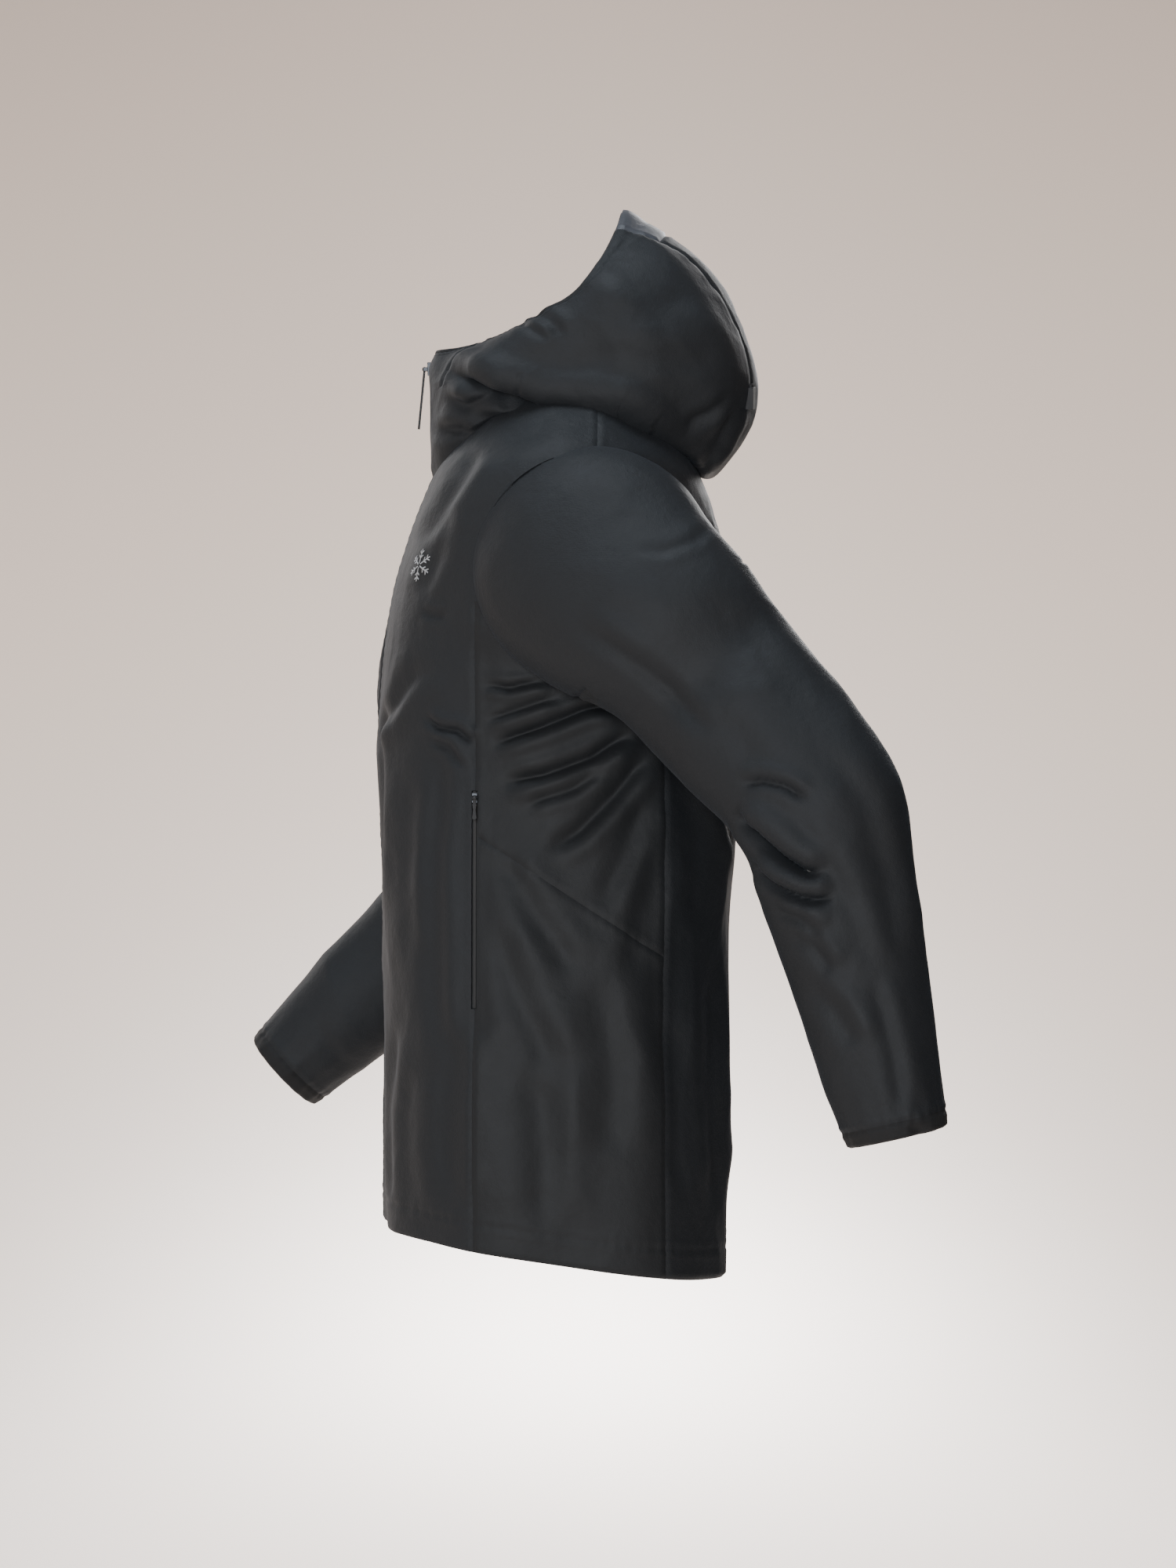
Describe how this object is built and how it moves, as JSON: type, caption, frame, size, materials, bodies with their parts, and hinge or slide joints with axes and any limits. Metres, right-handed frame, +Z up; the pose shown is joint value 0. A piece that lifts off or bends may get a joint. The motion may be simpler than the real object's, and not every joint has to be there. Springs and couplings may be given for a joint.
{
  "type": "hardshell jacket",
  "caption": "Charcoal insulated hooded hardshell jacket in worn shape, with brimmed hood, front zip, hand pockets and jointed sleeves",
  "frame": {"origin": "middle of the neck opening, at the height of the shoulder tops", "axes": "+X towards the wearer's left, -Y towards the front, +Z up along the wearer's back"},
  "size_m": [0.5929, 0.5731, 0.88],
  "materials": {
    "shell": "satin weave",
    "brim": "satin weave",
    "lining": "smooth",
    "binding": "matte",
    "tape": "matte",
    "coil": "matte",
    "metal": "satin",
    "rubber": "matte",
    "thread": "embroidered",
    "label": "matte"
  },
  "bodies": {
    "body_of_jacket": {"hem_facing": "lining", "front_panel_left": "shell", "side_panel_upper_left": "shell", "side_panel_lower_left": "shell", "pocket_zip_left": "tape", "pocket_bag_left": "lining", "front_panel_right": "shell", "side_panel_upper_right": "shell", "side_panel_lower_right": "shell", "pocket_zip_right": "tape", "pocket_bag_right": "lining", "back_panel": "shell", "body_lining": "lining", "collar_left": "shell", "collar_right": "shell", "hood_neck_panel": "shell", "collar_lining": "lining", "sleeve_cap_left": "shell", "underarm_gusset_left": "shell", "sleeve_cap_lining_left": "lining", "sleeve_cap_right": "shell", "underarm_gusset_right": "shell", "sleeve_cap_lining_right": "lining", "zip_tape_left": "tape", "zip_coil_left": "coil", "zip_tape_right": "tape", "zip_coil_right": "coil", "zip_retainer_box": "metal", "wind_flap": "lining", "chin_guard": "lining", "hang_loop": "tape", "care_label": "label", "chest_emblem": "thread"},
    "left_upper_arm": {"sleeve_upper_left": "shell", "sleeve_upper_lining_left": "lining"},
    "left_forearm": {"sleeve_lower_left": "shell", "sleeve_lower_lining_left": "lining", "cuff_binding_left": "binding"},
    "right_upper_arm": {"sleeve_upper_right": "shell", "sleeve_upper_lining_right": "lining"},
    "right_forearm": {"sleeve_lower_right": "shell", "sleeve_lower_lining_right": "lining", "cuff_binding_right": "binding"},
    "hood": {"hood_side_left": "shell", "hood_side_right": "shell", "hood_centre": "shell", "hood_brim": "brim", "brim_stiffener": "binding", "hood_lining": "lining", "hood_cord_lock": "rubber"},
    "hood_button": {"hood_cord_lock_button": "rubber"},
    "front_slider": {"zip_slider": "metal"},
    "front_pull": {"zip_pull": "rubber"},
    "pocket_slider_left": {"pocket_slider_left": "metal"},
    "pocket_pull_left": {"pocket_pull_left": "rubber"},
    "pocket_slider_right": {"pocket_slider_right": "metal"},
    "pocket_pull_right": {"pocket_pull_right": "rubber"}
  },
  "joints": [
    {"name": "shoulder_left", "type": "hinge", "parent": "body_of_jacket", "child": "left_upper_arm", "pos_m": [0.155, 0.037, -0.124], "axis": [-1, 0, 0], "range_deg": [-15, 30]},
    {"name": "elbow_left", "type": "hinge", "parent": "left_upper_arm", "child": "left_forearm", "pos_m": [0.24936, 0.21129, -0.31222], "axis": [-1, 0, 0], "range_deg": [-20, 32]},
    {"name": "shoulder_right", "type": "hinge", "parent": "body_of_jacket", "child": "right_upper_arm", "pos_m": [-0.155, 0.037, -0.124], "axis": [-1, 0, 0], "range_deg": [-20, 20]},
    {"name": "elbow_right", "type": "hinge", "parent": "right_upper_arm", "child": "right_forearm", "pos_m": [-0.24036, -0.04278, -0.36955], "axis": [-1, 0, 0], "range_deg": [-20, 32]},
    {"name": "hood_tilt", "type": "hinge", "parent": "body_of_jacket", "child": "hood", "pos_m": [0, 0.02, 0.01], "axis": [1, 0, 0], "range_deg": [-14, 14]},
    {"name": "cord_lock_button", "type": "slide", "parent": "hood", "child": "hood_button", "axis": [-0.1346, -0.0116, -0.9908], "range_m": [0, 0.0025], "stiffness_N_per_m": 400, "springref_m": -0.0005},
    {"name": "front_zip", "type": "slide", "parent": "body_of_jacket", "child": "front_slider", "axis": [0, 0.0267, -0.9996], "range_m": [0, 0.056]},
    {"name": "front_pull_swing", "type": "hinge", "parent": "front_slider", "child": "front_pull", "pos_m": [0, -0.10298, 0.048], "axis": [-1, 0, 0], "range_deg": [0, 150]},
    {"name": "pocket_zip_left", "type": "slide", "parent": "body_of_jacket", "child": "pocket_slider_left", "axis": [0.0694, 0, -0.9976], "range_m": [0, 0.155]},
    {"name": "pocket_pull_swing_left", "type": "hinge", "parent": "pocket_slider_left", "child": "pocket_pull_left", "pos_m": [0.15425, -0.058, -0.30677], "axis": [0, -1, 0], "range_deg": [0, 120]},
    {"name": "pocket_zip_right", "type": "slide", "parent": "body_of_jacket", "child": "pocket_slider_right", "axis": [-0.0694, 0, -0.9976], "range_m": [0, 0.155]},
    {"name": "pocket_pull_swing_right", "type": "hinge", "parent": "pocket_slider_right", "child": "pocket_pull_right", "pos_m": [-0.15425, -0.058, -0.30677], "axis": [0, 1, 0], "range_deg": [0, 120]}
  ]
}
